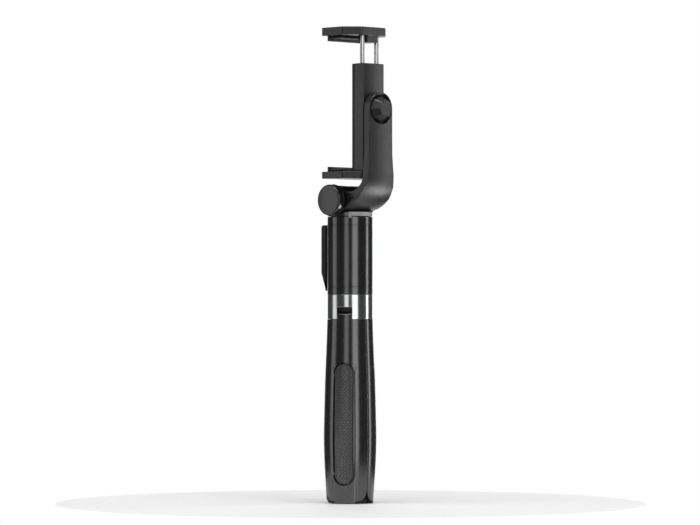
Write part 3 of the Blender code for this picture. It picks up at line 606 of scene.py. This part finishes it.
def sector(name, outer, inner, low, high, start, end):
    """Part of a ring between two angles in degrees."""
    turns = np.radians(np.linspace(start, end, 49))
    outside = [(outer * math.cos(t), outer * math.sin(t)) for t in turns]
    inside = [(inner * math.cos(t), inner * math.sin(t)) for t in reversed(turns)]
    return plate(name, [*outside, *inside], "XY", low, high)


def make_top_plate():
    """The barrel's top: a black disc with a light grey insert along its back, which ends in a small tab."""
    low, high = span("barrel_top_plate")
    radius, top = high[0], high[2]
    rim = rounded([(PLATE_HUB_R, top, 0), (radius, top, 0.5), (radius, PLATE_RIM_LOW, 0.2), (PLATE_BOSS_R, PLATE_RIM_LOW, 0)], 4)
    disc = turned("fine_top_plate", [*rim, (PLATE_BOSS_R, low[2]), (PLATE_HUB_R, low[2])], 180)
    pocket = sector("pocket", radius + 1, 8.5, PLATE_RIM_LOW - 0.5, top + 1, INSERT_START - 0.3, INSERT_END + 0.3)
    insert = sector("fine_plate_insert", radius, 8.7, PLATE_RIM_LOW + 0.05, top - 0.05, INSERT_START, INSERT_END)
    insert = combine(insert, "UNION", sector("tab", radius, 11.1, TAB_LOW, top - 1, INSERT_START + 0.01, TAB_END))
    for made, slot, cutters in ((disc, "gloss_black", [pocket]), (insert, "grey_plate", [])):
        trough = bar("trough", (-20, 0, TILT_Z), (20, 0, TILT_Z), 8.3)
        neck = block("neck", (-5.3, -4.8, 150), (5.3, 4.8, 160))
        made = combine(made, "DIFFERENCE", trough, neck, *cutters)
        show(soften(made, 0.12, 2, 50), "barrel", slot, "barrel_top_plate")


def make_knob():
    """Tilt knob, its collar and the nut on the far side, all turned about the tilt axis."""
    low, high = span("tilt_knob")
    thick, radius = high[0] - low[0], (high[1] - low[1]) / 2
    face = rounded([(0, thick, 0), (radius, thick, 0.9), (radius, 0, 0.4), (BOLT_HOLE_R, 0, 0)], 6)
    knob = turned("fine_tilt_knob", [*face, (BOLT_HOLE_R, thick - 1.6), (0, thick - 1.6)], closed=False)
    show(aim(knob, (low[0], 0, TILT_Z), (1, 0, 0)), "arm", "gloss_black", "tilt_knob", look="knob_black")

    low, high = span("tilt_collar")
    collar = turned("fine_tilt_collar", ring(COLLAR_R, BOLT_HOLE_R, 0, high[0] - low[0], 0.2))
    show(aim(collar, (low[0], 0, TILT_Z), (1, 0, 0)), "arm", "satin_black", "tilt_collar")

    low, high = span("tilt_nut")
    thick, radius = high[0] - low[0], (high[1] - low[1]) / 2
    face = rounded([(0, thick, 0), (radius, thick, 0.6), (radius, 0, 0.3), (BOLT_HOLE_R, 0, 0)], 6)
    nut = turned("fine_tilt_nut", [*face, (BOLT_HOLE_R, thick - 0.9), (0, thick - 0.9)], closed=False)
    show(aim(nut, (high[0], 0, TILT_Z), (-1, 0, 0)), "arm", "gloss_black", "tilt_nut")


# ---------------------------------------------------------------- arm


def arm_side(fall):
    """Side outline of the arm in Y and Z: outer side, which has fallen by so much, top, and inner side."""
    bend = []
    for turn in np.radians(np.linspace(70.5, 0, 49)):
        bend.append(((ARM_BACK - fall) * math.cos(turn), BEND_Z - (BEND_HEIGHT - fall) * math.sin(turn)))
    crook = rounded([(ARM_FRONT, 226, 0), (ARM_FRONT, 172.6, 6.5), (14.5, 169.4, 9), (8, 167.3, 0)], 14)[1:-1]
    return [*bend, (ARM_BACK - fall, 226), (ARM_FRONT, 226), *crook, (4, 168.5), (0, TILT_Z), (3, 158.9)]


def crowned_arm():
    """The arm's side outline carried across its width, with the outer side slightly domed."""
    shape = bmesh.new()
    loops = []
    for x in np.linspace(-EAR_X - 1, EAR_X + 1, 25):
        fall = CROWN * (x / ARM_HALF_WIDTH) ** 2
        loops.append([shape.verts.new((x * MM, y * MM, z * MM)) for y, z in arm_side(fall)])
    stitch(shape, [[*loop, loop[0]] for loop in loops])
    shape.faces.new(loops[0])
    shape.faces.new(loops[-1])
    return from_shape("fine_arm", shape)


def arm_front():
    """Front outline of the arm in X and Z, wide at the knuckle and narrowing to a round head."""
    turns = np.radians(np.linspace(0, 180, 65))
    head = [(ARM_HALF_WIDTH * math.cos(t), ROLL_Z + ARM_HALF_WIDTH * math.sin(t)) for t in turns]
    side = [(EAR_X, 150, 0), (EAR_X, 165.5, 9), (10.35, 175.5, 16), (ARM_HALF_WIDTH, 190, 40), (ARM_HALF_WIDTH, 212, 0)]
    flank = rounded(side, 8)[:-1]
    return [*flank, *head, *[(-x, z) for x, z in reversed(flank)]]


def make_arm():
    """The arm from its two outlines, with the slot for the lug, the seat for the knob and both bores."""
    hub = bar("hub", (-EAR_X - 0.9, 0, TILT_Z), (EAR_X + 0.9, 0, TILT_Z), EAR_R, steps=128)
    arm = combine(crowned_arm(), "UNION", hub)
    arm = combine(arm, "INTERSECT", plate("front", arm_front(), "XZ", -12, 30))
    cutters = [bar("lug_slot", (-SLOT_X, 0, TILT_Z), (SLOT_X, 0, TILT_Z), SLOT_R)]
    cutters.append(bar("tilt_bore", (-16, 0, TILT_Z), (16, 0, TILT_Z), BOLT_HOLE_R))
    cutters.append(bar("seat", (0, SEAT_Y, ROLL_Z), (0, 30, ROLL_Z), SEAT_R))
    cutters.append(bar("roll_bore", (0, 15, ROLL_Z), (0, 30, ROLL_Z), 1.8))
    arm = combine(arm, "DIFFERENCE", *cutters)
    show(soften(settled(arm, 0.02), 0.3, 3, 38), "arm", "satin_black", "arm")

    low, high = span("roll_knob")
    flats = turned("fine_roll_knob", ((0, high[1] - low[1]), (KNOB_END_R, high[1] - low[1]), (KNOB_SEAT_R, 0), (0, 0)), 8, False)
    flats.data.transform(Matrix.Rotation(math.radians(90), 4, "Z"))
    knob = aim(flats, (0, low[1], ROLL_Z), (0, 1, 0))
    knob = combine(knob, "DIFFERENCE", bar("hole", (0, 20, ROLL_Z), (0, 25, ROLL_Z), 1.8))
    show(soften(knob, 0.3, 3, 25), "arm", "satin_black", "roll_knob")


# ---------------------------------------------------------------- clamp


def jaw_outline():
    """Plan of both jaws with its corners rounded: square at the front, cut off towards the back."""
    right = [(JAW_X, JAW_FRONT, 0.9), (JAW_X, JAW_SIDE_END, 2.6), (JAW_BACK_X, JAW_BACK, 1.5)]
    return rounded([*right, *[(-x, y, fillet) for x, y, fillet in reversed(right)]], 7)


def make_jaws():
    """The fixed lower jaw and the sliding top jaw, each with its lip, and the top one with its block."""
    low_z, high_z = span("lower_jaw")[0][2], span("lower_jaw_pad")[0][2] - 0.3
    lower = plate("fine_lower_jaw", jaw_outline(), "XY", low_z, high_z)
    lip = block("lip", (-LIP_X, JAW_FRONT + 0.9, high_z - 1), (LIP_X, LIP_Y, high_z + LIP_HEIGHT))
    lower = combine(lower, "UNION", lip)
    holes = []
    for number in (1, 2):
        low, high = span(f"jaw_screw_{number}")
        y = (low[1] + high[1]) / 2
        holes.append(bar(f"head_{number}", (0, y, 170), (0, y, 178.3), 1.7, steps=48))
        holes.append(bar(f"shank_{number}", (0, y, 170), (0, y, 185), 1.0, steps=32))
    lower = combine(lower, "DIFFERENCE", *holes)
    show(soften(lower, 0.35, 3, 40), "clamp", "satin_black", "lower_jaw")

    low_z, high_z = span("top_jaw_pad")[1][2] + 0.3, span("top_jaw")[1][2]
    top = plate("fine_top_jaw", jaw_outline(), "XY", low_z, high_z)
    lip = block("lip", (-LIP_X, JAW_FRONT + 0.9, low_z - LIP_HEIGHT), (LIP_X, LIP_Y, low_z + 1))
    foot = block("foot", (-3.8, 10, span("top_jaw")[0][2]), (3.8, 17.2, low_z + 1))
    top = combine(top, "UNION", lip, foot)
    sockets = [bar(f"socket_{x}", (x, ROD_Y, 240), (x, ROD_Y, SOCKET_TOP), ROD_HOLE_R, steps=48) for x in (-ROD_X, ROD_X)]
    show(soften(combine(top, "DIFFERENCE", *sockets), 0.35, 3, 40), "top_jaw", "satin_black", "top_jaw")


def make_case():
    """The clamp's case: an open box whose back is slightly domed, with its bores."""
    low, high = span("clamp_case")
    half, front, back = high[0], low[1], high[1]
    dome = [(x, back - CROWN * (x / half) ** 2) for x in np.linspace(half, -half, 25)]
    case = plate("fine_clamp_case", [(half, front), *dome, (-half, front)], "XY", low[2], high[2])
    cutters = [block("hollow", (1 - half, front - 2, low[2] + 1.9), (half - 1, back - 1.7, high[2] + 5))]
    cutters.append(bar("bore", (0, 14, ROLL_Z), (0, 20, ROLL_Z), 1.8))
    for number in (1, 2):
        screw_low, screw_high = span(f"jaw_screw_{number}")
        y = (screw_low[1] + screw_high[1]) / 2
        cutters.append(bar(f"screw_{number}", (0, y, 170), (0, y, 185), 1.0, steps=32))
    show(soften(combine(case, "DIFFERENCE", *cutters), 0.4, 3, 40), "clamp", "satin_black", "clamp_case")


def make_clamp():
    """Case, cover, pads and rods."""
    make_jaws()
    make_case()
    refined("clamp_cover", "clamp", "satin_black", 0.2, 2)
    refined("back_pad", "clamp", "soft_rubber", 0.15, 2)
    refined("lower_jaw_pad", "clamp", "soft_rubber", 0.2, 2)
    refined("top_jaw_pad", "top_jaw", "soft_rubber", 0.2, 2)
    for number in (1, 2):
        low, high = span(f"clamp_rod_{number}")
        centre = [(a + b) / 2 for a, b in zip(low, high)]
        radius = (high[0] - low[0]) / 2
        made = bar(f"fine_clamp_rod_{number}", (*centre[:2], low[2]), (*centre[:2], high[2]), radius, 0.3, 64)
        show(made, "top_jaw", "bright_chrome", f"clamp_rod_{number}")


def make_spring():
    """The clamp's spring as a close coil of round wire."""
    low, high = span("clamp_spring")
    wire, turns, sides = 0.35, 14, 10
    radius = (high[0] - low[0]) / 2 - wire
    middle = (low[1] + high[1]) / 2
    shape = bmesh.new()
    loops = []
    count = turns * 24
    for step in range(count + 1):
        turn = math.tau * step / 24
        centre = Vector((radius * math.cos(turn), middle + radius * math.sin(turn), 0))
        centre.z = low[2] + wire + (high[2] - low[2] - 2 * wire) * step / count
        outward = Vector((math.cos(turn), math.sin(turn), 0))
        loop = []
        for side in range(sides):
            round_wire = math.tau * side / sides
            offset = outward * math.cos(round_wire) + Vector((0, 0, 1)) * math.sin(round_wire)
            loop.append(shape.verts.new((centre + offset * wire) * MM))
        loops.append([*loop, loop[0]])
    stitch(shape, loops)
    shape.faces.new(loops[0][:-1])
    shape.faces.new(loops[-1][:-1])
    made = show(from_shape("fine_clamp_spring", shape), "clamp", "steel", "clamp_spring")
    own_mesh(made)


# ---------------------------------------------------------------- remote


def make_remote():
    """The remote's two shells, and its button and lens turned about their own axes."""
    refined("remote_back", "remote", "gloss_black", 0.25, 3, look="remote_black")
    refined("remote_front", "remote", "gloss_black", 0.3, 3, look="remote_black")
    low, high = span("remote_button")
    thick, radius = high[1] - low[1], (high[0] - low[0]) / 2
    dish = [(0, thick - 0.35), (radius - 1.2, thick - 0.25), (radius - 0.8, thick - 0.02)]
    rim = rounded([(radius - 0.8, thick, 0), (radius, thick, 0.35), (radius, 0, 0), (0, 0, 0)], 5)[1:-1]
    button = aim(turned("fine_remote_button", [*dish, *rim, (0, 0)], 96, closed=False), (0, high[1], BUTTON_Z), (0, -1, 0))
    show(button, "remote_button", "satin_black", "remote_button")
    low, high = span("remote_lens")
    lens = bar("fine_remote_lens", (0, high[1], LENS_Z), (0, low[1], LENS_Z), (high[0] - low[0]) / 2, 0.4, 48)
    show(lens, "remote", "indicator", "remote_lens")


def paint_frame_nodes():
    """Every CAD node that still shows takes its own slot's material."""
    for entry in frame["record"]["subparts"]:
        node = frame["nodes"][entry["node"]]
        node.data.materials.clear()
        node.data.materials.append(FINISHES[entry["material_slot"]])


# ---------------------------------------------------------------- studio


def aimed(made, target):
    """Points a camera or light at a place."""
    look = Vector(target) - made.location
    made.rotation_euler = look.to_track_quat("-Z", "Y").to_euler()


def make_camera():
    distance, height, target_height = 2.1, 0.0999, 0.1307
    camera = bpy.data.objects.new("camera", bpy.data.cameras.new("camera"))
    bpy.context.scene.collection.objects.link(camera)
    camera.location = (distance * math.sqrt(0.5), distance * math.sqrt(0.5), height)
    aimed(camera, (0, 0, target_height))
    camera.data.lens = 198.4
    camera.data.sensor_width = 36
    bpy.context.scene.camera = camera


def make_panel(name, start, end, radiance, low=-30, high=42):
    """A soft panel that spans two angles round the object and two heights in degrees, unseen by the camera."""
    distance, centre = 1.5, Vector((0, 0, 0.15))
    turn, lift = math.radians((start + end) / 2), math.radians((low + high) / 2)
    width = 2 * distance * math.tan(math.radians((end - start) / 2))
    height = 2 * distance * math.tan(math.radians((high - low) / 2))
    light = bpy.data.lights.new(name, "AREA")
    light.shape = "RECTANGLE"
    light.size, light.size_y = width, height
    light.energy = radiance * math.pi * width * height
    panel = bpy.data.objects.new(name, light)
    bpy.context.scene.collection.objects.link(panel)
    outward = Vector((math.cos(lift) * math.cos(turn), math.cos(lift) * math.sin(turn), math.sin(lift)))
    panel.location = centre + outward * distance
    aimed(panel, centre)
    panel.visible_camera = False


def make_studio():
    """Pale floor and backdrop, a bright world for the camera only, and the panels round the object."""
    shape = bmesh.new()
    bmesh.ops.create_circle(shape, cap_ends=True, segments=96, radius=0.16)
    floor = from_shape("floor", shape)
    floor.location.z = -0.0002
    floor.data.materials.append(finish("floor", (0.86, 0.86, 0.86), (0.90, 0.90, 0.90), (0.6, 0.7)))

    bpy.context.scene.view_settings.view_transform = "Standard"
    world = bpy.data.worlds.new("studio")
    bpy.context.scene.world = world
    world.use_nodes = True
    tree = world.node_tree
    tree.nodes.clear()
    output = tree.nodes.new("ShaderNodeOutputWorld")
    mix = tree.nodes.new("ShaderNodeMixShader")
    rays = tree.nodes.new("ShaderNodeLightPath")
    room = tree.nodes.new("ShaderNodeBackground")
    room.inputs["Color"].default_value = (0.06, 0.06, 0.06, 1)
    white = tree.nodes.new("ShaderNodeBackground")
    white.inputs["Color"].default_value = (1, 1, 1, 1)
    tree.links.new(rays.outputs["Is Camera Ray"], mix.inputs["Fac"])
    tree.links.new(room.outputs["Background"], mix.inputs[1])
    tree.links.new(white.outputs["Background"], mix.inputs[2])
    tree.links.new(mix.outputs["Shader"], output.inputs["Surface"])

    make_panel("right_fill", -52, -28, 1.0)
    make_panel("right_front", 18, 37, 1.15)
    make_panel("left_front", 57, 84, 1.9)
    make_panel("left_strip", 137, 149, 2.8)
    make_panel("low_strip", 138, 160, 7.0, -42, -27)
    make_panel("rear", 200, 250, 1.2)
    make_panel("top", 20, 70, 6.0, 60, 90)


make_camera()
paint_frame_nodes()
make_legs()
make_hub_ring()
make_barrel()
make_knob()
make_arm()
make_clamp()
make_spring()
make_remote()
make_studio()
